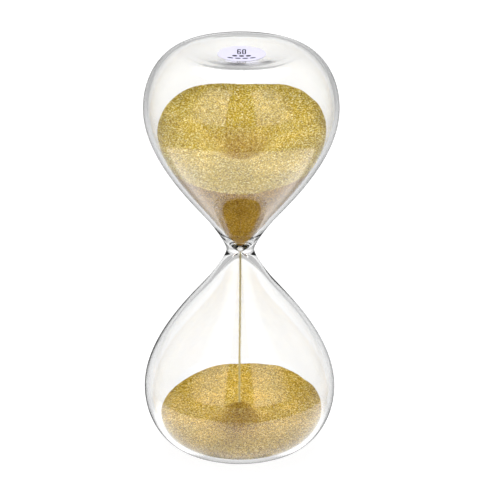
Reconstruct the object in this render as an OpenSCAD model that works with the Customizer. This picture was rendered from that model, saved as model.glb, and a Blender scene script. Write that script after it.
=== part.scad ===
// Frameless hourglass: two blown glass bulbs fused at a narrow neck, partly run through.
// +Z is up, +Y points away from the reader of the label, and the origin is the middle of
// the lower resting ring. The profile heights below are counted from the waist.

/* [Glass] */
// Overall height between the two resting rings
overall_h = 264.4; // [250:0.2:280]
// Largest outer diameter of each bulb
bulb_d = 122; // [114:0.5:130]
// Outer diameter of the neck at the waist
waist_d = 17.4; // [16:0.2:19]
// Height above the waist of the widest place of a bulb
belly_z = 94.3; // [90:0.1:98]
// Wall thickness of the bulbs
wall = 2.9; // [2.4:0.1:3.2]
// Diameter of the orifice that the sand runs through
bore_d = 1.6; // [1.2:0.1:2.4]
// Straight length of the orifice on each side of the waist
bore_half_length = 0.9; // [0.6:0.1:1.4]

/* [Flank] */
// Radius where the neck curve hands over to the flank curve
flank_r = 21.1; // [20:0.1:22]
// Height of that place above the waist
flank_z = 21.35; // [20.6:0.05:22]
// Lean of the flank there, from the vertical, in degrees
flank_angle = 38.7; // [36:0.1:41]

/* [Ends] */
// Outer diameter of the resting ring at each end
ring_d = 68.4; // [64:0.2:72]
// Width of the flat resting ring
ring_w = 2; // [1:0.1:3]
// Depth of the dished end inside the resting ring
dish_depth = 4.3; // [3:0.1:5]
// Diameter of the filling hole in the upper dish
fill_hole_d = 10; // [8:0.5:12]
// Length of the stopper below the inner face of the dish
plug_reach = 0.3; // [0:0.1:4]

/* [Label] */
// Diameter of the round label
label_d = 29.8; // [26:0.2:34]
// Thickness of the label
label_t = 0.15; // [0.1:0.05:0.3]
// Thickness of the ink that stands on the label
ink_t = 0.05; // [0.05:0.05:0.1]
// Height of the numerals
numeral_h = 7.4; // [6:0.1:8]
// Width of one numeral
numeral_w = 2.4; // [2:0.1:3]
// Line thickness of the numerals
numeral_stroke = 0.8; // [0.4:0.05:0.8]

/* [Sand] */
// Height above the waist at which the bank of the upper sand would pass the axis
upper_level = 73.5; // [66:0.5:76]
// Slope of the bank of the upper sand, rising away from the front, in degrees
upper_bank = 23; // [0:1:24]
// Sideways slope of the upper sand, rising to the right, in degrees
upper_lean = 1.5; // [-3:0.5:3]
// Depth of the funnel-shaped crater below that height, on the axis
crater_depth = 15; // [4:0.5:18]
// Distance below the waist at which the bank of the lower sand would pass the axis
lower_level = 115.5; // [108:0.5:118]
// Slope of the bank of the lower sand, rising away from the front, in degrees
lower_bank = 11; // [0:1:12]
// Sideways slope of the lower sand, rising to the right, in degrees
lower_lean = 3; // [-3:0.1:3]
// Slope of the heap and of the crater, in degrees: fine sand slides at about this
repose_angle = 32; // [28:1:35]
// Height of the fresh heap under the stream, on the axis
heap_h = 8.5; // [5:0.5:11]
// How round the top of the heap is
heap_round = 3; // [1:0.5:6]
// Diameter of the falling thread of sand on the heap
stream_d = 1.2; // [0.6:0.1:1.3]

/* [Hidden] */
$fn = 96;

waist_z = overall_h / 2;   // height of the waist above the lower resting ring
bulb_r = bulb_d / 2;
waist_r = waist_d / 2;
bore_r = bore_d / 2;
ring_r = ring_d / 2;
dish_r = ring_r - ring_w;
label_r = label_d / 2;
stream_r = stream_d / 2;
steps = 18;                // straight pieces in each curve of the profile
neck_hold = 0.207;         // share of flank_z over which the neck stays upright
neck_pull = 0.292;         // share of flank_z over which it bends into the flank
flank_pull = 15.7;         // how far the flank runs on in its first direction
belly_pull = 29.7;         // how far the flank runs upright into the belly
shoulder_pull = 0.545;     // share of the shoulder's rise over which it stays upright
ring_pull = 0.534;         // share of the shoulder's width over which it levels out
funnel_angle = 50;         // lean of the cavity where it leaves the orifice, from the vertical
mouth_pull = 0.22;         // share of the funnel's length that keeps that lean
throat_pull = 0.35;        // share of it that already follows the flank
pole_trim = 0.3;           // share of the wall by which the inner dish is narrower
sand_gap = 0.05;           // air between sand and glass, and between stopper and hole
below = 40;                // how far cutting blocks reach past what they cut
clear = 200;               // half size of the cutting blocks

// Points and directions of a cubic curve with control points p
function cubic(p, t) = pow(1 - t, 3) * p[0] + 3 * t * pow(1 - t, 2) * p[1]
                     + 3 * t * t * (1 - t) * p[2] + pow(t, 3) * p[3];
function cubic_dir(p, t) = pow(1 - t, 2) * (p[1] - p[0]) + 2 * t * (1 - t) * (p[2] - p[1])
                         + t * t * (p[3] - p[2]);

// A curve's points, moved by d to its left, which is the inside of the glass
function inward(p, t, d) = let (v = cubic_dir(p, t), n = [-v[1], v[0]] / norm(v))
                           cubic(p, t) + d * n;
function curve(p, d) = [for (i = [0:steps]) inward(p, i / steps, d)];

// The outer profile of a bulb as [radius, height above the waist]: neck, flank and shoulder
flank_p = [flank_r, flank_z];
flank_v = [sin(flank_angle), cos(flank_angle)];
neck_curve = [[waist_r, 0], [waist_r, neck_hold * flank_z],
              flank_p - neck_pull * flank_z * flank_v, flank_p];
flank_curve = [flank_p, flank_p + flank_pull * flank_v,
               [bulb_r, belly_z - belly_pull], [bulb_r, belly_z]];
shoulder_rise = waist_z - belly_z;
shoulder_curve = [[bulb_r, belly_z], [bulb_r, belly_z + shoulder_pull * shoulder_rise],
                  [ring_r + ring_pull * (bulb_r - ring_r), waist_z], [ring_r, waist_z]];

// The dish of an end: level at the ring and at the middle
function dish_z(r) = waist_z - dish_depth * pow(1 - pow(r / dish_r, 2), 2);
function dish_slope(r) = dish_depth * 4 * r / pow(dish_r, 2) * (1 - pow(r / dish_r, 2));
function dish_point(r, d) = [r, dish_z(r)] + d / norm([dish_slope(r), 1]) * [dish_slope(r), -1];
function dish_curve(r0, r1, d) = [for (i = [0:steps]) dish_point(r0 + (r1 - r0) * i / steps, d)];

outer_profile = concat(curve(neck_curve, 0), curve(flank_curve, 0), curve(shoulder_curve, 0),
                       dish_curve(dish_r, 0, 0));

// The cavity opens from the orifice in a funnel and then runs parallel to the outside
function funnel_curve(d) = let (a = [bore_r - d + wall, bore_half_length],
                                b = inward(flank_curve, 0, d))
    [a, a + mouth_pull * norm(b - a) * [sin(funnel_angle), cos(funnel_angle)],
     b - throat_pull * norm(b - a) * flank_v, b];
function cavity_profile(d) = concat(
    [[0, 0], [bore_r - d + wall, 0]],
    curve(funnel_curve(d), 0), curve(flank_curve, d), curve(shoulder_curve, d),
    dish_curve(dish_r - pole_trim * d, 0, d));

module cavity(d) {
    rotate_extrude() polygon(cavity_profile(d));
}

// One bulb, standing on the waist with its dished end up
module bulb() {
    difference() {
        rotate_extrude() polygon(concat([[0, 0]], outer_profile));
        cavity(wall);
    }
}

// Everything below a plane through height z on the axis, rising by bank to the back
// and by lean to the right
module below_plane(z, bank, lean) {
    translate([0, 0, z]) rotate([bank, -lean, 0])
        translate([-clear, -clear, -2 * clear]) cube(2 * clear);
}

module upper_bulb() {
    color([0.93, 0.96, 0.97, 0.35]) translate([0, 0, waist_z]) difference() {
        bulb();
        translate([0, 0, waist_z - below]) cylinder(h = 2 * below, d = fill_hole_d);
    }
}

module lower_bulb() {
    color([0.93, 0.96, 0.97, 0.35]) translate([0, 0, waist_z]) mirror([0, 0, 1]) bulb();
}

// The stopper follows the dish on top, so that the label lies flat over it
module fill_plug() {
    plug_r = fill_hole_d / 2 - sand_gap;
    bottom = dish_z(0) - wall - plug_reach;
    bevel = 0.6;
    color("whitesmoke") translate([0, 0, waist_z]) rotate_extrude()
        polygon(concat([[0, bottom], [plug_r - bevel, bottom], [plug_r, bottom + bevel]],
                       dish_curve(plug_r, 0, 0)));
}

// A thin shell that lies on the dish, from height low to height high above the glass
module dish_shell(r, low, high) {
    rotate_extrude() polygon(concat(dish_curve(0, r, -low), dish_curve(r, 0, -high)));
}

module label() {
    color("lavender") translate([0, 0, waist_z]) dish_shell(label_r, 0, label_t);
}

// A bar with round ends, as a flat outline
module stadium(w, h) {
    d = min(w, h);
    for (s = [-1, 1]) translate([w > h ? s * (w - d) / 2 : 0, w > h ? 0 : s * (h - d) / 2])
        circle(d = d);
    square([w > h ? w - d : w, w > h ? h : h - d], center = true);
}

module stadium_ring(w, h) {
    difference() {
        stadium(w, h);
        stadium(w - 2 * numeral_stroke, h - 2 * numeral_stroke);
    }
}

// A six is a closed bowl and a stem; both numerals are as tall as each other
module numeral_six() {
    bowl_h = 0.58 * numeral_h;
    stem_cut = 1.3 * numeral_h;
    translate([0, (bowl_h - numeral_h) / 2]) stadium_ring(numeral_w, bowl_h);
    difference() {
        stadium_ring(numeral_w, numeral_h);
        translate([0, (bowl_h - numeral_h) / 2]) stadium(numeral_w, bowl_h);
        translate([0, -numeral_h]) square([numeral_w, stem_cut]);
    }
}

// A row of short bars that stands for a line of small print
module bar_row(count, bar, gap) {
    pitch = bar[0] + gap;
    for (i = [0:count - 1])
        translate([(i - (count - 1) / 2) * pitch, 0]) stadium(bar[0], bar[1]);
}

// The numerals stand above two rows of bars, all centred on the label's y axis
module label_marks() {
    numeral_y = 7.2;
    upper_row_y = 0.2;
    lower_row_y = -5;
    numeral_x = 0.65 * numeral_w;
    upper_bar = [3.2, 2.8];
    lower_bar = [3.6, 2.4];
    bar_gap = 1;
    translate([-numeral_x, numeral_y]) numeral_six();
    translate([numeral_x, numeral_y]) stadium_ring(numeral_w, numeral_h);
    translate([0, upper_row_y]) bar_row(3, upper_bar, bar_gap);
    translate([0, lower_row_y]) bar_row(4, lower_bar, bar_gap);
}

module label_print() {
    color("black") translate([0, 0, waist_z]) intersection() {
        dish_shell(label_r, label_t, label_t + ink_t);
        linear_extrude(waist_z + below) label_marks();
    }
}

module upper_sand() {
    crater_h = 2 * below;
    color([0.80, 0.68, 0.33]) translate([0, 0, waist_z]) difference() {
        intersection() {
            cavity(wall + sand_gap);
            below_plane(upper_level, upper_bank, upper_lean);
        }
        translate([0, 0, upper_level - crater_depth])
            cylinder(h = crater_h, r1 = 0, r2 = crater_h / tan(repose_angle));
    }
}

// A cone of fresh sand with a round top, cut flat where the stream lands on it
module heap() {
    foot_r = 10 * heap_round;   // far enough out to be under the banked sand
    function fall(r) = tan(repose_angle)
                     * (norm([r, heap_round]) - norm([stream_r, heap_round]));
    rotate_extrude() polygon(concat(
        [[0, -fall(foot_r)]],
        [for (i = [0:steps]) let (r = foot_r + (stream_r - foot_r) * i / steps) [r, -fall(r)]],
        [[0, 0]]));
}

module lower_sand() {
    color([0.78, 0.65, 0.32]) translate([0, 0, waist_z]) intersection() {
        mirror([0, 0, 1]) cavity(wall + sand_gap);
        union() {
            below_plane(-lower_level, lower_bank, lower_lean);
            translate([0, 0, heap_h - lower_level]) heap();
        }
    }
}

// The thread leaves the orifice full width, draws in at once and then thins slowly
module sand_stream() {
    top_r = bore_r - sand_gap;
    landing = heap_h - lower_level;
    drawn_r = stream_r + 0.1;
    drawn_z = -25;
    color([0.87, 0.77, 0.47]) translate([0, 0, waist_z]) rotate_extrude()
        polygon([[0, landing], [stream_r, landing], [drawn_r, drawn_z],
                 [top_r, -bore_half_length], [top_r, 0], [0, 0]]);
}

upper_bulb();
lower_bulb();
fill_plug();
label();
label_print();
upper_sand();
lower_sand();
sand_stream();
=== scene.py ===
"""Looks of the hourglass: clear blown glass, glittering gold sand and a printed label.

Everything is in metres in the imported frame: +Z is up, +Y points away from the camera and
z = 0 is the surface that the hourglass stands on.
"""

import math

import bpy
import numpy as np
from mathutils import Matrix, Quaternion, Vector
from mathutils.bvhtree import BVHTree
from mathutils.geometry import delaunay_2d_cdt


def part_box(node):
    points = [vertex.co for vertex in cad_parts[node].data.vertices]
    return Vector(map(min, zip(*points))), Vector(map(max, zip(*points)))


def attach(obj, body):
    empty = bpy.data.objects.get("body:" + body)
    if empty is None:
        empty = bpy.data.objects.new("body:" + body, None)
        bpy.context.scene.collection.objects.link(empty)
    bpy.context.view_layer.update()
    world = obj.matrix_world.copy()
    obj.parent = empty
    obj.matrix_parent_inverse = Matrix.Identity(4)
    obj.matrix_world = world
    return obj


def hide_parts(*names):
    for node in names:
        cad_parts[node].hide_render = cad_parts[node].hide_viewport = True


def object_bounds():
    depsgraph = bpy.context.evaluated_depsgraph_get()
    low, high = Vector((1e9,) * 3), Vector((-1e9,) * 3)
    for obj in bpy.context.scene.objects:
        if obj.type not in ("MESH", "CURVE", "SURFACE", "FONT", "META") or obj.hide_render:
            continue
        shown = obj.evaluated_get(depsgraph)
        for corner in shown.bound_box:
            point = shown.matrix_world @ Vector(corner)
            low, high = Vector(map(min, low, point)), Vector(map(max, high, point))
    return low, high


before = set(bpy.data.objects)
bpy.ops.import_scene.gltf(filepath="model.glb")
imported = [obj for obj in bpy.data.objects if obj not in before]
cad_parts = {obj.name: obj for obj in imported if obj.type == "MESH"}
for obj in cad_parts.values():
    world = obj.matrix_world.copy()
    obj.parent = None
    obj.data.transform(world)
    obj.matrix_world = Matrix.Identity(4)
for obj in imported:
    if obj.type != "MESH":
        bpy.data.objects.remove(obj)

cad_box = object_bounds()
random = np.random.default_rng(60)

MM = 0.001
WAIST_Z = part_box("lower_bulb")[1].z
BULB_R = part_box("lower_bulb")[1].x

# Camera: the photograph's viewing angle
CAMERA_ELEVATION = math.radians(22)
CAMERA_DISTANCE = 30 * BULB_R
CAMERA_LENS = 217.1             # focal length in millimetres
CAMERA_SENSOR = 36              # width of the picture in the camera, in millimetres
CAMERA_CLIP = 50.0              # nothing further than this is drawn
CAMERA_ROLL = math.radians(0.355)
AIM = Vector((-0.26 * MM, 0, WAIST_Z + 6.1 * MM))

# Table, and the light that the glass mirrors from below
FLOOR_HALF = 30.0               # half the table's width, far out of view
FLOOR_DROP = 0.05 * MM          # the table lies this much under the glass
FLOOR_GLOW = 0.96
SIDE_GLOW = 0.45                # share of the glow that is left far out to the sides
GLOW_FADES = (0.13, 0.60)       # distance from the axis where the fading starts and ends
TABLE_LIGHT = 3.2
FIELD_R = 0.52                  # radius of the mirrored field of light
FIELD_EDGE = 0.07               # half the width of its soft edge, as a share of the radius
FIELD_DEPTH = 0.133             # how far it lies below the table
FIELD_MARGIN = 1.1              # half of its mesh, as a share of the radius

# Room
SIDE_LIGHT = 0.15
BACK_LIGHT = 0.6
LAMP_LIGHT = 11.5
LAMP_ELEVATION = math.radians(70)
LAMP_REACH = math.radians(30)
SOFT_BOX = 1.5                  # light of the two soft boxes
HORIZON = 0.03                  # how far up and down the room blends in at the horizon

# Glass
ROUND_STEPS = 180               # divisions round the axis
PROFILE_STEP = 1.5 * MM         # longest piece of the glass outline
PROFILE_TURN = 3.0              # most that one piece of the outline turns, in degrees
OUTLINE_STEP = 0.1 * MM         # step of the fine outline
EDGE_ROUND = 0.35 * MM          # how far fire polishing rounds the glass edges
CORNER = math.radians(15)       # outline points that turn less than this lie on a curve
STRAIGHT = math.radians(0.02)   # outline points that turn less than this are left out
CURVE_PARTS = 24                # pieces between two outline points
SAME_RING = 0.02 * MM           # CAD points closer than this are on one ring
ON_WAIST = 0.01 * MM            # rings closer than this to the waist's plane lie on it
WAVE = 0.05 * MM                # how much the blown wall varies in thickness
WAVE_FADE = 12 * MM             # the variation fades out within this radius of the axis
WAVE_TWIST = 4                  # radians by which it turns round along the whole outline
GLASS_IOR = 1.48
GLASS_TINT = (0.5, 0.5, 0.5, 1)
GLASS_DENSITY = 20.0

# Sand
GRAIN = 0.5 * MM                # size of a grain
GRAIN_RELIEF = 0.13 * MM        # how far a grain stands out of the surface
WALL_GAP = 0.12 * MM            # least room between the sand and the glass
SLUMP = 2.5 * MM                # how far the edges of the crater and the heap are softened
REPOSE = math.tan(math.radians(32))
TIP_ROUND = 2 * MM              # roundness of the heap's tip and of the crater's bottom
PROBE = 40 * MM                 # where the CAD surface is felt to find how it is banked
RIPPLE = 0.25 * MM              # height of each of the waves in the surface
WALL_STEPS = 320                # divisions round the sand's wall
WALL_ROW = 0.85 * MM            # height of its rows
WALL_JITTER = 0.3               # how far a grain of the wall is off its place, in steps
LATTICE_STEP = 1.1 * GRAIN      # room that each grain takes up in the surface
LATTICE_JITTER = 0.28           # how far such a grain is off its place, in steps
RIM_ROOM = 0.6 * GRAIN          # room between the rim and the nearest grain inside it
LEAST_R = 0.05 * MM             # no ring of the wall is narrower than this
NECK_POINTS = 20                # points of the fine outline that lie within the neck
LOOSE_GRAINS = 2600             # separate crystals lying on each sand surface
CRATER_HEAP_SHADE = (0.74, 0.65, 0.38, 1)   # how dark the painted shade round the crater and the heap makes the sand
# painted light: the falling sand's colour is lifted towards this gold
PAINTED_LIGHT_GOLD = (1.0, 0.90, 0.52, 1)

# Falling sand
STREAM_R = 0.62 * MM            # radius of the thread once it has drawn in
STREAM_STEP = 0.45 * MM
STREAM_SIDES = 9
STREAM_THINNING = 0.55          # share of its radius that the thread loses on its way
STREAM_FLARE = 14               # how soon the wide start draws in
STREAM_SPREAD = 0.36 * MM       # how far the grains beside the thread stray from it
STREAM_INNER = 0.3 * MM         # how near to the axis they come
STREAM_START = 2 * MM           # how far under the waist the first one is
FALLING_GRAINS = 2600           # separate crystals that fall beside the thread

WHITE = (1, 1, 1, 1)


# ---------------------------------------------------------------- meshes

def add_mesh(name, verts, faces, material, smooth):
    mesh = bpy.data.meshes.new(name)
    mesh.from_pydata([tuple(v) for v in verts], [], [tuple(f) for f in faces])
    mesh.validate()
    mesh.materials.append(material)
    mesh.polygons.foreach_set("use_smooth", [smooth] * len(mesh.polygons))
    mesh.update()
    piece = bpy.data.objects.new(name, mesh)
    bpy.context.scene.collection.objects.link(piece)
    return piece


def add_square(name, half, material):
    """A level square round the axis, for the stage."""
    verts = [(-half, -half, 0), (half, -half, 0), (half, half, 0), (-half, half, 0)]
    return add_mesh(name, verts, [(0, 1, 2, 3)], material, smooth=False)


def finish_piece(piece, slot, *nodes):
    """The piece rides on the body and stands for the nodes, which it hides. The slot is not used.
    """
    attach(piece, "root")
    if nodes:
        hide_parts(*nodes)


def turned_faces(rows, round_steps, closed=True):
    """Faces of a turned mesh: first pole, rows of vertices and, if it is closed, last pole."""
    faces = []
    last_row = 1 + (rows - 1) * round_steps
    last_pole = last_row + round_steps
    for j in range(round_steps):
        k = (j + 1) % round_steps
        faces.append((0, 1 + k, 1 + j))
        for i in range(rows - 1):
            a, b = 1 + i * round_steps, 1 + (i + 1) * round_steps
            faces.append((a + j, a + k, b + k, b + j))
        if closed:
            faces.append((last_row + j, last_row + k, last_pole))
    return faces


def full_turn(steps):
    """Evenly spaced angles round the axis."""
    return np.arange(steps) * 2 * math.pi / steps


# ---------------------------------------------------------------- outlines

def rings_of(node):
    """The rings of a turned CAD solid: their (radius, height), and which rings touch."""
    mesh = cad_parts[node].data
    index, rings, ring_of, links = {}, [], [], {}
    for v in mesh.vertices:
        r, z = math.hypot(v.co.x, v.co.y), v.co.z
        i, j = round(r / SAME_RING), round(z / SAME_RING)
        around = [(k, m) for k in (i - 1, i, i + 1) for m in (j - 1, j, j + 1)]
        near = [index[key] for key in around if key in index]
        if near:
            ring_of.append(near[0])
        else:
            index[i, j] = len(rings)
            ring_of.append(len(rings))
            rings.append((r, z))
    for a, b in mesh.edge_keys:
        p, q = ring_of[a], ring_of[b]
        if p != q:
            links.setdefault(p, set()).add(q)
            links.setdefault(q, set()).add(p)
    return np.array(rings), links


def walk_outline(node, outer):
    """Outline points from the waist along the outer or the inner face, until the axis or
    the waist is reached."""
    rings, links = rings_of(node)
    on_waist = [i for i, ring in enumerate(rings) if abs(ring[1] - WAIST_Z) < ON_WAIST]
    at = (max if outer else min)(on_waist, key=lambda i: rings[i][0])
    path, seen = [at], {at} | set(on_waist)
    while True:
        ahead = [i for i in links[at] if i not in seen]
        if not ahead:
            break
        at = min(ahead, key=lambda i: np.hypot(*(rings[i] - rings[at])))
        seen.add(at)
        path.append(at)
    points = rings[path]
    closing = min(on_waist, key=lambda i: rings[i][0])
    if outer and closing in links[path[-1]]:
        points = np.vstack([points, rings[closing]])
    return points


def bends(points):
    """Which points to keep: the two ends, and every point where the outline turns."""
    ahead = np.diff(points, axis=0)
    heading = np.unwrap(np.arctan2(ahead[:, 1], ahead[:, 0]))
    turns = np.abs(np.diff(heading)) > STRAIGHT
    return np.concatenate([[True], turns, [True]])


def curve_through(points):
    """A smooth curve through the outline's points, in which only real corners stay sharp."""
    points = points[bends(points)]
    ahead = np.diff(points, axis=0)
    length = np.hypot(*ahead.T)[:, None]
    heading = ahead / length
    between = heading[:-1] * length[1:] + heading[1:] * length[:-1]
    between /= np.hypot(*between.T)[:, None]
    corner = (heading[:-1] * heading[1:]).sum(1, keepdims=True) < math.cos(CORNER)
    leave = np.vstack([heading[:1], np.where(corner, heading[1:], between)]) * length
    arrive = np.vstack([np.where(corner, heading[:-1], between), heading[-1:]]) * length
    u = np.linspace(0, 1, CURVE_PARTS, endpoint=False)[:, None, None]
    curve = ((2 * u ** 3 - 3 * u ** 2 + 1) * points[:-1] + (u ** 3 - 2 * u ** 2 + u) * leave
             + (3 * u ** 2 - 2 * u ** 3) * points[1:] + (u ** 3 - u ** 2) * arrive)
    return np.vstack([curve.transpose(1, 0, 2).reshape(-1, 2), points[-1:]])


def smooth_outline(points):
    """The outline at fine even steps, with its corners rounded; its two ends stay put."""
    points = curve_through(points)
    length = np.concatenate([[0], np.cumsum(np.hypot(*np.diff(points, axis=0).T))])
    s = np.linspace(0, length[-1], int(length[-1] / OUTLINE_STEP) + 1)
    fine = np.stack([np.interp(s, length, points[:, k]) for k in (0, 1)], 1)
    reach = int(4 * EDGE_ROUND / OUTLINE_STEP)     # the kernel has died out by there
    kernel = np.exp(-0.5 * (np.arange(-reach, reach + 1) * OUTLINE_STEP / EDGE_ROUND) ** 2)
    kernel /= kernel.sum()
    before = 2 * fine[0] - fine[reach:0:-1]
    after = 2 * fine[-1] - fine[-2:-reach - 2:-1]
    padded = np.vstack([before, fine, after])
    return np.stack([np.convolve(padded[:, k], kernel, "valid") for k in (0, 1)], 1)


def thin_outline(fine):
    """Fewer points, closer together where the outline bends."""
    d = np.diff(fine, axis=0)
    heading = np.unwrap(np.arctan2(d[:, 1], d[:, 0]))
    bend = np.abs(np.gradient(heading))
    cost = np.hypot(*d.T) / PROFILE_STEP + bend / math.radians(PROFILE_TURN)
    cost = np.concatenate([[0], np.cumsum(cost)])
    at = np.linspace(0, cost[-1], int(math.ceil(cost[-1])) + 1)
    return np.stack([np.interp(at, cost, fine[:, k]) for k in (0, 1)], 1)


def inner_outline(node):
    """Inner outline of one bulb at even steps, kept a little off the glass."""
    points = smooth_outline(walk_inner(node))
    d = np.gradient(points, axis=0)
    inward = np.stack([-d[:, 1], d[:, 0]], 1) / np.hypot(*d.T)[:, None]
    if inward[len(inward) // 2, 0] > 0:
        inward = -inward
    points = points + WALL_GAP * inward
    points[:, 0] = np.maximum(points[:, 0], 0)
    return points


def walk_inner(node):
    """The inner face from the waist to the axis, or in the upper bulb to a little past the
    widest place, well short of the filling hole."""
    outline = walk_outline(node, outer=False)
    if node == "upper_bulb":
        past_widest = 8
        outline = outline[:int(np.argmax(outline[:, 0])) + past_widest]
    return outline


# ---------------------------------------------------------------- materials

class Tree:
    """Short calls to build a node tree."""

    def __init__(self, owner):
        owner.use_nodes = True
        self.tree = owner.node_tree
        self.tree.nodes.clear()

    def add(self, kind, inputs=None, **settings):
        node = self.tree.nodes.new(kind)
        for key, value in settings.items():
            setattr(node, key, value)
        for key, value in (inputs or {}).items():
            self.put(value, node.inputs[key])
        return node

    def put(self, value, socket):
        """Link another node's output to the socket, or set the socket's own value."""
        if isinstance(value, bpy.types.NodeSocket):
            self.tree.links.new(value, socket)
        else:
            socket.default_value = value

    def math(self, operation, a, b=0.0, c=0.0, clamp=False):
        inputs = {0: a, 1: b, 2: c}
        return self.add("ShaderNodeMath", inputs, operation=operation, use_clamp=clamp).outputs[0]

    def times(self, first, *others):
        for other in others:
            first = self.math("MULTIPLY", first, other)
        return first

    def vector(self, operation, a, b):
        return self.add("ShaderNodeVectorMath", {0: a, 1: b}, operation=operation).outputs

    def axes(self, place):
        return self.add("ShaderNodeSeparateXYZ", {0: place}).outputs

    def between(self, value, low, high, to_low=0.0, to_high=1.0):
        """Smooth step from to_low at low to to_high at high."""
        inputs = {"Value": value, "From Min": low, "From Max": high,
                  "To Min": to_low, "To Max": to_high}
        node = self.add("ShaderNodeMapRange", inputs, interpolation_type="SMOOTHSTEP")
        return node.outputs[0]

    def noise(self, place, scale, detail=3.0, roughness=0.5):
        inputs = {"Vector": place, "Scale": scale, "Detail": detail, "Roughness": roughness}
        return self.add("ShaderNodeTexNoise", inputs).outputs["Fac"]

    def ramp(self, value, stops):
        """A colour that follows the value through (place, red-green-blue) stops."""
        node = self.add("ShaderNodeValToRGB", {"Fac": value})
        ramp = node.color_ramp
        while len(ramp.elements) < len(stops):
            ramp.elements.new(0.5)
        for element, (place, color) in zip(ramp.elements, stops):
            element.position = place
            element.color = (*color, 1)
        return node.outputs["Color"]

    def mix(self, factor, a, b, blend="MIX"):
        node = self.add("ShaderNodeMix", data_type="RGBA", blend_type=blend)
        sockets = {s.identifier: s for s in node.inputs}
        for name, value in (("Factor_Float", factor), ("A_Color", a), ("B_Color", b)):
            self.put(value, sockets[name])
        return {s.identifier: s for s in node.outputs}["Result_Color"]

    def bump(self, height, strength, distance):
        inputs = {"Height": height, "Strength": strength, "Distance": distance}
        return self.add("ShaderNodeBump", inputs).outputs["Normal"]

    def surface(self, **inputs):
        """A principled shader with an output; an underscore in a name stands for a space."""
        named = {name.replace("_", " "): value for name, value in inputs.items()}
        shader = self.add("ShaderNodeBsdfPrincipled", named)
        return self.add("ShaderNodeOutputMaterial", {"Surface": shader.outputs[0]})


def new_material(name):
    material = bpy.data.materials.new(name)
    tree = Tree(material)
    place = tree.add("ShaderNodeTexCoord").outputs["Object"]
    return material, tree, place


def glass_material():
    """Clear glass, with faint streaks and waves from blowing."""
    material, tree, place = new_material("clear_glass")
    upright = {"Vector": place, "Scale": (1.0, 1.0, 0.35)}
    stretch = tree.add("ShaderNodeMapping", upright).outputs[0]
    streaks = tree.noise(stretch, 55.0)
    color = tree.ramp(streaks, [(0.3, (0.985, 0.99, 0.99)), (0.7, (1.0, 1.0, 1.0))])
    waves = tree.noise(stretch, 40.0, detail=1.0)
    out = tree.surface(Base_Color=color, Roughness=0.0, IOR=GLASS_IOR, Transmission_Weight=1.0,
                       Normal=tree.bump(waves, 0.35, 0.15 * MM))
    body = tree.add("ShaderNodeVolumeAbsorption", {"Color": GLASS_TINT, "Density": GLASS_DENSITY})
    tree.put(body.outputs[0], out.inputs["Volume"])
    return material


def sand_material(name, shade, shade_centre_y=None, painted_light=0.0):
    """Grains of gold sand: each cell is one grain with its own colour and gloss. Painted shade
    darkens the sand round a given place in the crater or before the heap, and towards the front. A
    share of painted light can lift the colour towards a pale gold."""
    material, tree, place = new_material(name)
    grid = {"Vector": place, "Scale": 1 / GRAIN, "Randomness": 1.0}
    cells = tree.add("ShaderNodeTexVoronoi", grid).outputs
    tone, luck, _ = tree.add("ShaderNodeSeparateColor", {"Color": cells["Color"]}).outputs
    clumps = tree.noise(place, 900.0, detail=2.0, roughness=0.7)
    lift = tree.between(clumps, 0.3, 0.7, -0.35, 0.35)
    tone = tree.math("ADD", tone, lift, clamp=True)
    grain = tree.ramp(tone, [(0.0, (0.30, 0.16, 0.006)), (0.25, (0.50, 0.30, 0.014)),
                             (0.5, (0.68, 0.45, 0.030)), (0.8, (0.86, 0.61, 0.075)),
                             (1.0, (1.0, 0.90, 0.42))])
    drift_and_shade = tree.between(tree.noise(place, 60.0), 0.3, 0.7, 0.88, 1.08)
    # painted shade: the sand darkens round the crater's far wall or the heap's front
    if shade_centre_y is not None:
        flat = tree.vector("MULTIPLY", place, (1, 1, 0))[0]
        away = tree.vector("DISTANCE", flat, (0, shade_centre_y, 0))["Value"]
        out_of_shade = tree.between(away, 5 * MM, 24 * MM)
        grain = tree.mix(1.0, grain, tree.mix(out_of_shade, CRATER_HEAP_SHADE, WHITE), "MULTIPLY")
        # painted shade: the sand also darkens towards the front
        _, y, _ = tree.axes(place)
        drift_and_shade = tree.times(drift_and_shade, tree.between(y, -52 * MM, 4 * MM, 0.72, 1.0))
    drift_and_shade_inputs = {0: shade, "Scale": drift_and_shade}
    tint = tree.add("ShaderNodeVectorMath", drift_and_shade_inputs, operation="SCALE").outputs[0]
    color = tree.mix(1.0, grain, tint, "MULTIPLY")
    # painted light: a share of the colour is lifted to a pale gold
    color = tree.mix(painted_light, color, PAINTED_LIGHT_GOLD)
    gloss = tree.between(luck, 0.80, 0.95, 0.75, 0.22)
    fine = tree.noise(place, 9000.0, detail=1.0)
    domes = tree.math("MULTIPLY_ADD", fine, 0.15, tree.math("SUBTRACT", 1.0, cells["Distance"]))
    tree.surface(Base_Color=color, Roughness=gloss, IOR=1.5, Specular_IOR_Level=0.12,
                 Normal=tree.bump(domes, 0.7, 0.12 * MM))
    return material


def label_material():
    """Satin film with a faint fibre grain."""
    material, tree, place = new_material("label_film")
    fibres = tree.noise(place, 1400.0, detail=4.0)
    color = tree.ramp(fibres, [(0.3, (0.38, 0.37, 0.47)), (0.7, (0.41, 0.40, 0.50))])
    gloss = tree.between(fibres, 0.3, 0.7, 0.55, 0.7)
    tree.surface(Base_Color=color, Roughness=gloss, Specular_IOR_Level=0.1,
                 Normal=tree.bump(fibres, 0.3, 0.02 * MM))
    return material


def ink_material():
    """Matt black ink, a little uneven."""
    material, tree, place = new_material("black_ink")
    blots = tree.noise(place, 2500.0)
    color = tree.ramp(blots, [(0.3, (0.003, 0.003, 0.004)), (0.7, (0.010, 0.010, 0.012))])
    gloss = tree.between(blots, 0.3, 0.7, 0.7, 0.85)
    tree.surface(Base_Color=color, Roughness=gloss, Specular_IOR_Level=0.1,
                 Normal=tree.bump(blots, 0.3, 0.01 * MM))
    return material


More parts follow.
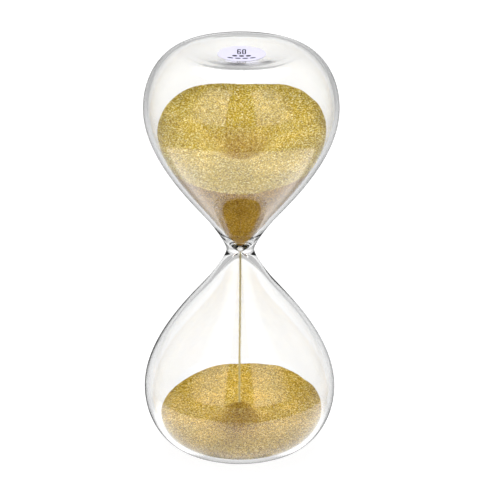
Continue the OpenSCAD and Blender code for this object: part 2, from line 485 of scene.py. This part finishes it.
def silicone_material():
    """Milky silicone of the stopper."""
    material, tree, place = new_material("milky_silicone")
    haze = tree.noise(place, 500.0)
    color = tree.ramp(haze, [(0.3, (0.80, 0.80, 0.77)), (0.7, (0.88, 0.88, 0.86))])
    gloss = tree.between(haze, 0.3, 0.7, 0.4, 0.55)
    tree.surface(Base_Color=color, Roughness=gloss, Normal=tree.bump(haze, 0.3, 0.05 * MM))
    return material


def floor_material():
    """A white table that is lit a little from below, and dims far out to the sides."""
    material, tree, place = new_material("pale_table")
    cloud = tree.noise(place, 3.0)
    color = tree.ramp(cloud, [(0.3, (0.045, 0.045, 0.045)), (0.7, (0.055, 0.055, 0.055))])
    aside = tree.math("ABSOLUTE", tree.axes(place)[0])
    glow = tree.between(aside, *GLOW_FADES, FLOOR_GLOW, SIDE_GLOW * FLOOR_GLOW)
    tree.surface(Base_Color=color, Roughness=0.7, Emission_Color=WHITE, Emission_Strength=glow)
    return material


def field_material():
    """A round field of light with soft edges, cut off behind and weaker at its middle and its
    sides. It is weaker in front too, where the camera stands, and dark in a strip on the
    axis, where the hourglass hides it from its own funnel."""
    material, tree, place = new_material("light_field")
    x, y, _ = tree.axes(place)
    aside = tree.math("ABSOLUTE", x)
    radius = tree.add("ShaderNodeVectorMath", {0: place}, operation="LENGTH").outputs["Value"]
    rim = tree.between(radius, FIELD_R * (1 + FIELD_EDGE), FIELD_R * (1 - FIELD_EDGE))
    behind = tree.between(y, 0.21, 0.10)
    middle = tree.between(radius, 0.10, 0.34, 0.62, 1.0)
    sides = tree.between(aside, 0.22, 0.45, 1.0, 0.78)
    front = tree.between(tree.math("MULTIPLY_ADD", aside, 0.4, y), -0.44, -0.30, 0.35, 1.0)
    patches = tree.between(tree.noise(place, 6.0), 0.3, 0.7, 0.97, 1.0)
    strip = tree.times(tree.between(aside, 0.080, 0.055), tree.between(y, -0.055, -0.020))
    seen = tree.math("SUBTRACT", 1.0, strip)
    light = tree.times(rim, behind, middle, sides, front, patches, seen, TABLE_LIGHT)
    emission = tree.add("ShaderNodeEmission", {"Strength": light})
    tree.add("ShaderNodeOutputMaterial", {"Surface": emission.outputs[0]})
    return material


# ---------------------------------------------------------------- glass

def waviness(angle, z):
    """A slow, smooth unevenness between -1 and 1, as a blown wall has."""
    return (0.45 * np.sin(2 * angle + 31 * z + 0.7) + 0.30 * np.sin(3 * angle - 47 * z + 2.1)
            + 0.25 * np.sin(5 * angle + 83 * z + 4.0))


def glass_outline():
    """From the lower pole up the outside, over the rim of the filling hole and down the inside."""
    lower_out = walk_outline("lower_bulb", outer=True)
    upper = walk_outline("upper_bulb", outer=True)
    lower_in = walk_outline("lower_bulb", outer=False)
    return np.vstack([lower_out[::-1], upper[1:], lower_in[1:]])


def make_glass(material):
    """One mesh for both bulbs, whose wall is nowhere quite even."""
    outline = thin_outline(smooth_outline(glass_outline()))
    outline[:, 0] = np.maximum(outline[:, 0], 0)
    direction = np.gradient(outline, axis=0)
    normal = np.stack([direction[:, 1], -direction[:, 0]], 1) / np.hypot(*direction.T)[:, None]
    angles = full_turn(ROUND_STEPS)
    rows = []
    for i, ((r, z), n) in enumerate(zip(outline[1:-1], normal[1:-1])):
        fade = min(1.0, r / WAVE_FADE)
        bulge = WAVE * fade * waviness(angles + WAVE_TWIST * i / len(outline), z)
        ring_r = r + n[0] * bulge
        ring_z = np.maximum(z + n[1] * bulge, cad_box[0].z)
        rows.append(np.stack([ring_r * np.cos(angles), ring_r * np.sin(angles), ring_z], 1))
    verts = np.vstack([[[0, 0, outline[0, 1]]], *rows, [[0, 0, outline[-1, 1]]]])
    faces = turned_faces(len(rows), ROUND_STEPS)
    glass = add_mesh("blown_glass", verts, faces, material, smooth=True)
    finish_piece(glass, "glass", "upper_bulb", "lower_bulb")


# ---------------------------------------------------------------- sand

def height_at(tree, x, y):
    """Height of the CAD solid's top at (x, y)."""
    return tree.ray_cast(Vector((x, y, cad_box[1].z)), Vector((0, 0, -1)))[0].z


def bank_of(tree):
    """Height on the axis, sideways slope and slope to the back of the flat banked sand."""
    left, right, front = (height_at(tree, *at) for at in ((-PROBE, 0), (PROBE, 0), (0, -PROBE)))
    level = (left + right) / 2
    return level, (right - left) / (2 * PROBE), (level - front) / PROBE


def join_surfaces(a, b, sign):
    """The upper (sign 1) or the lower (sign -1) of two heights, with a slumped edge."""
    apart = a - b
    return (a + b) / 2 + sign * np.sqrt(apart * apart + SLUMP ** 2) / 2


def ripples(x, y):
    """Gentle unevenness of a poured surface."""
    return RIPPLE * (np.sin(140 * x + 60 * y + 1) + np.sin(-90 * x + 170 * y + 2)
                     + 0.6 * np.sin(310 * x - 250 * y))


def sand_surface(node):
    """A function that gives the height of loose sand at (x, y), after the CAD solid: a
    bank with a crater in the upper bulb (sign -1) and with a heap in the lower (sign 1)."""
    tree = BVHTree.FromObject(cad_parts[node], bpy.context.evaluated_depsgraph_get())
    level, lean, bank = bank_of(tree)
    middle = height_at(tree, 0, 0)
    sign = -1 if node == "upper_sand" else 1

    def surface(x, y):
        plane = level + lean * x + bank * y
        distance = np.sqrt(x * x + y * y + TIP_ROUND ** 2) - TIP_ROUND
        return join_surfaces(plane, middle - sign * REPOSE * distance, sign) + ripples(x, y)

    return surface


def wall_rim(inner, surface, angles):
    """How far along the inner outline the sand reaches, at each angle."""
    reach = []
    for a in angles:
        above = surface(inner[:, 0] * math.cos(a), inner[:, 0] * math.sin(a)) - inner[:, 1]
        k = int(np.argmax(above[NECK_POINTS:] < 0)) + NECK_POINTS
        reach.append(k - 1 + above[k - 1] / (above[k - 1] - above[k]))
    return np.array(reach)


def wall_rows(inner, reach, angles):
    """Rings of grains against the glass, up to an even one that is the rim of the sand."""
    s = np.arange(len(inner))
    count = int(reach.max() * OUTLINE_STEP / WALL_ROW)
    rows = []
    for share in np.arange(1, count + 1) / count:
        at = share * reach
        if share < 1:
            off = random.uniform(-WALL_JITTER, WALL_JITTER, WALL_STEPS)
            at = at + off * WALL_ROW / OUTLINE_STEP
        r, z = np.interp(at, s, inner[:, 0]), np.interp(at, s, inner[:, 1])
        off = random.uniform(-WALL_JITTER, WALL_JITTER, WALL_STEPS)
        turn = angles + off * 2 * math.pi / WALL_STEPS * (share < 1)
        r = np.maximum(r - random.uniform(0, GRAIN_RELIEF, WALL_STEPS), LEAST_R)
        rows.append(np.stack([r * np.cos(turn), r * np.sin(turn), z], 1))
    return rows


def grain_lattice(radius, spacing):
    """Jittered points of a triangular lattice that covers a circle."""
    half = np.arange(-radius, radius + spacing, spacing)
    rows = np.arange(-radius, radius + spacing, spacing * math.sqrt(3) / 2)
    points = np.array([(x + (k % 2) * spacing / 2, y) for k, y in enumerate(rows) for x in half])
    return points + random.uniform(-LATTICE_JITTER, LATTICE_JITTER, points.shape) * spacing


def top_faces(rim, inside, first_rim):
    """Triangles between the rim's points and the points inside it, which follow the rim in
    the list of vertices."""
    flat = [Vector(p[:2]) for p in rim] + [Vector(p) for p in inside]
    loop = [(i, (i + 1) % WALL_STEPS) for i in range(WALL_STEPS)]
    inside_loop, merge_distance = 1, 1e-7
    _, _, triangles, origins, _, _ = delaunay_2d_cdt(flat, loop, [], inside_loop, merge_distance)
    number = [origin[0] if origin else None for origin in origins]
    return [tuple(first_rim + number[v] for v in face) for face in triangles
            if all(number[v] is not None for v in face)]


def make_sand(node, inner, material, shaded_wall_material):
    """Sand from the start of the inner outline up to its own surface; gives back the
    surface and the least radius of its rim."""
    surface = sand_surface(node)
    angles = full_turn(WALL_STEPS)
    rows = wall_rows(inner, wall_rim(inner, surface, angles), angles)
    rim = rows[-1]
    rim_r = np.hypot(rim[:, 0], rim[:, 1])

    inside = grain_lattice(rim_r.max(), LATTICE_STEP)
    at = np.arctan2(inside[:, 1], inside[:, 0]) % (2 * math.pi)
    edge = np.interp(at, angles, rim_r, period=2 * math.pi)
    inside = inside[np.hypot(*inside.T) < edge - RIM_ROOM]
    top = top_faces(rim, inside, 1 + (len(rows) - 1) * WALL_STEPS)
    top_z = surface(inside[:, 0], inside[:, 1]) + random.uniform(-1, 1, len(inside)) * GRAIN_RELIEF

    pole = [[0, 0, inner[0, 1]]]
    verts = np.vstack([pole, *rows, np.column_stack([inside, top_z])])
    faces = top + turned_faces(len(rows), WALL_STEPS, closed=False)
    sand = add_mesh(node + "_grains", verts, faces, material, smooth=False)
    # the faces against the glass take a darker copy of the sand, which is painted shade
    sand.data.materials.append(shaded_wall_material)
    for polygon in sand.data.polygons[len(top):]:
        polygon.material_index = 1
    finish_piece(sand, "sand", node)
    return surface, rim_r.min()


# An octahedron
CRYSTAL = np.array([[1, 0, 0], [-1, 0, 0], [0, 1, 0], [0, -1, 0], [0, 0, 1], [0, 0, -1]], float)
CRYSTAL_FACES = np.array([[0, 2, 4], [2, 1, 4], [1, 3, 4], [3, 0, 4],
                          [2, 0, 5], [1, 2, 5], [3, 1, 5], [0, 3, 5]])


def crystals(name, places, material):
    """One mesh of separate sand crystals, each turned and stretched its own way."""
    count = len(places)
    turn = np.linalg.qr(random.normal(size=(count, 3, 3)))[0]
    size = random.uniform(0.24, 0.5, (count, 1, 1)) * GRAIN     # half of its length
    size = size * random.uniform(0.7, 1.3, (count, 1, 3))       # and its stretch
    chips = random.uniform(-0.06, 0.06, (count, len(CRYSTAL), 3)) * GRAIN
    corners = (CRYSTAL[None] * size + chips) @ turn
    verts = (corners + places[:, None]).reshape(-1, 3)
    faces = CRYSTAL_FACES[None] + len(CRYSTAL) * np.arange(count)[:, None, None]
    mirrored = np.linalg.det(turn) < 0
    faces[mirrored] = faces[mirrored][:, :, ::-1]
    piece = add_mesh(name, verts, faces.reshape(-1, 3), material, smooth=False)
    finish_piece(piece, "sand")


def scatter_on(surface, rim_r, count):
    """Places just on a sand surface, evenly over its area."""
    radius = np.sqrt(random.uniform(0, 1, count)) * (rim_r - GRAIN)
    angle = random.uniform(0, 2 * math.pi, count)
    x, y = radius * np.cos(angle), radius * np.sin(angle)
    return np.stack([x, y, surface(x, y) + GRAIN_RELIEF], 1)


def make_thread(material, low, high):
    """The falling thread: wide in the orifice, thinner as it speeds up, and never quite even."""
    heights = np.arange(high.z, low.z, -STREAM_STEP)
    fallen = (high.z - heights) / (high.z - low.z)
    radius = (STREAM_R * (1 - STREAM_THINNING * np.sqrt(fallen))
              + (high.x - STREAM_R) * np.exp(-STREAM_FLARE * fallen))
    radius = radius * random.uniform(0.84, 1.0, len(heights))
    angles = full_turn(STREAM_SIDES)
    rows = []
    for z, r in zip(heights, radius):
        ring = r * random.uniform(0.8, 1.0, STREAM_SIDES)
        turn = angles + random.uniform(-0.2, 0.2)
        level = np.full(STREAM_SIDES, z)
        rows.append(np.stack([ring * np.cos(turn), ring * np.sin(turn), level], 1))
    verts = np.vstack([[[0, 0, high.z]], *rows, [[0, 0, low.z]]])
    faces = turned_faces(len(rows), STREAM_SIDES)
    thread = add_mesh("falling_thread", verts, faces, material, smooth=False)
    finish_piece(thread, "sand", "sand_stream")


def make_stream(material):
    """The thread, and single grains that fall beside it."""
    low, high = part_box("sand_stream")
    make_thread(material, low, high)
    z = random.uniform(low.z, high.z - STREAM_START, FALLING_GRAINS)
    spread = np.abs(random.normal(0, STREAM_SPREAD, FALLING_GRAINS)) + STREAM_INNER
    around = random.uniform(0, 2 * math.pi, FALLING_GRAINS)
    places = np.stack([spread * np.cos(around), spread * np.sin(around), z], 1)
    crystals("falling_grains", places, material)


# ---------------------------------------------------------------- stage

def make_camera():
    data = bpy.data.cameras.new("camera")
    data.lens = CAMERA_LENS
    data.sensor_width = CAMERA_SENSOR
    data.clip_end = CAMERA_CLIP
    camera = bpy.data.objects.new("camera", data)
    bpy.context.scene.collection.objects.link(camera)
    out = Vector((0, -math.cos(CAMERA_ELEVATION), math.sin(CAMERA_ELEVATION)))
    camera.location = Vector((0, 0, WAIST_Z)) + CAMERA_DISTANCE * out
    look = (AIM - camera.location).to_track_quat("-Z", "Y")
    camera.rotation_mode = "QUATERNION"
    camera.rotation_quaternion = look @ Quaternion((0, 0, 1), CAMERA_ROLL)
    bpy.context.scene.camera = camera


def make_floor():
    """The table. Its mirror image is left to the field of light."""
    floor = add_square("table", FLOOR_HALF, floor_material())
    floor.location.z = -FLOOR_DROP
    floor.visible_glossy = False


def make_light_field():
    """What the glass mirrors from below: light only, seen by reflections alone."""
    field = add_square("light_field", FIELD_MARGIN * FIELD_R, field_material())
    field.location.z = -FIELD_DEPTH
    field.visible_camera = False
    field.visible_diffuse = False
    field.visible_transmission = False
    field.visible_shadow = False


def make_world():
    """A studio seen all round: two tall soft boxes with a gap between them stand in front, a
    broad soft lamp hangs above and a little behind, and the dim sides draw the grey outlines
    of the glass."""
    world = bpy.data.worlds.new("studio")
    bpy.context.scene.world = world
    tree = Tree(world)
    place = tree.add("ShaderNodeTexCoord").outputs["Generated"]
    x, y, z = tree.axes(place)
    above = tree.between(z, -HORIZON, HORIZON)
    below = tree.math("SUBTRACT", 1.0, above)

    forward = tree.math("MAXIMUM", tree.times(y, -1.0), 0.001)
    across = tree.math("ABSOLUTE", tree.math("DIVIDE", x, forward))
    boxes = tree.times(tree.between(across, 0.28, 0.36), tree.between(across, 2.6, 0.7),
                       tree.between(y, -0.10, -0.30), tree.between(z, 0.92, 0.80))
    toward_lamp = tree.math("ADD", tree.times(y, math.cos(LAMP_ELEVATION)),
                            tree.times(z, math.sin(LAMP_ELEVATION)))
    lamp = tree.between(toward_lamp, math.cos(LAMP_REACH), math.cos(LAMP_REACH / 2))
    room = tree.between(y, 0.0, 0.4, SIDE_LIGHT, BACK_LIGHT)
    upper = tree.math("MULTIPLY_ADD", boxes, SOFT_BOX, room)
    upper = tree.math("MULTIPLY_ADD", lamp, LAMP_LIGHT, upper)
    light = tree.math("ADD", tree.times(below, SIDE_LIGHT), tree.times(upper, above))
    background = tree.add("ShaderNodeBackground", {"Strength": light, "Color": WHITE})
    tree.add("ShaderNodeOutputWorld", {"Surface": background.outputs[0]})


# ---------------------------------------------------------------- the object

def make_all_sand():
    """Both bodies of sand with the loose crystals on them, and the falling thread."""
    # painted shade: the sand against the glass is a darker, more orange copy of the sand
    wall = sand_material("shaded_wall_gold_sand", (0.80, 0.62, 0.30))
    # painted shade round the crater's far wall above and before the heap below
    upper = sand_material("upper_gold_sand", (0.96, 1.0, 1.2), shade_centre_y=7 * MM)
    lower = sand_material("lower_gold_sand", (1.0, 0.95, 0.9), shade_centre_y=-11 * MM)
    upper_top = make_sand("upper_sand", inner_outline("upper_bulb"), upper, wall)
    lower_top = make_sand("lower_sand", inner_outline("lower_bulb")[::-1], lower, wall)
    crystals("upper_loose_grains", scatter_on(*upper_top, LOOSE_GRAINS), upper)
    crystals("lower_loose_grains", scatter_on(*lower_top, LOOSE_GRAINS), lower)
    # painted light: the falling sand is a paler copy of the sand, lit by its colour
    make_stream(sand_material("falling_gold_sand_painted_light", (1.0, 1.0, 1.0), painted_light=0.75))


def finish_cad_node(node, material):
    """Give a carried-over CAD node its look."""
    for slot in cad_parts[node].material_slots:
        slot.material = material


bpy.context.scene.view_settings.view_transform = "Standard"
make_camera()
make_floor()
make_light_field()
make_world()
make_glass(glass_material())
make_all_sand()
finish_cad_node("label", label_material())
finish_cad_node("label_print", ink_material())
finish_cad_node("fill_plug", silicone_material())
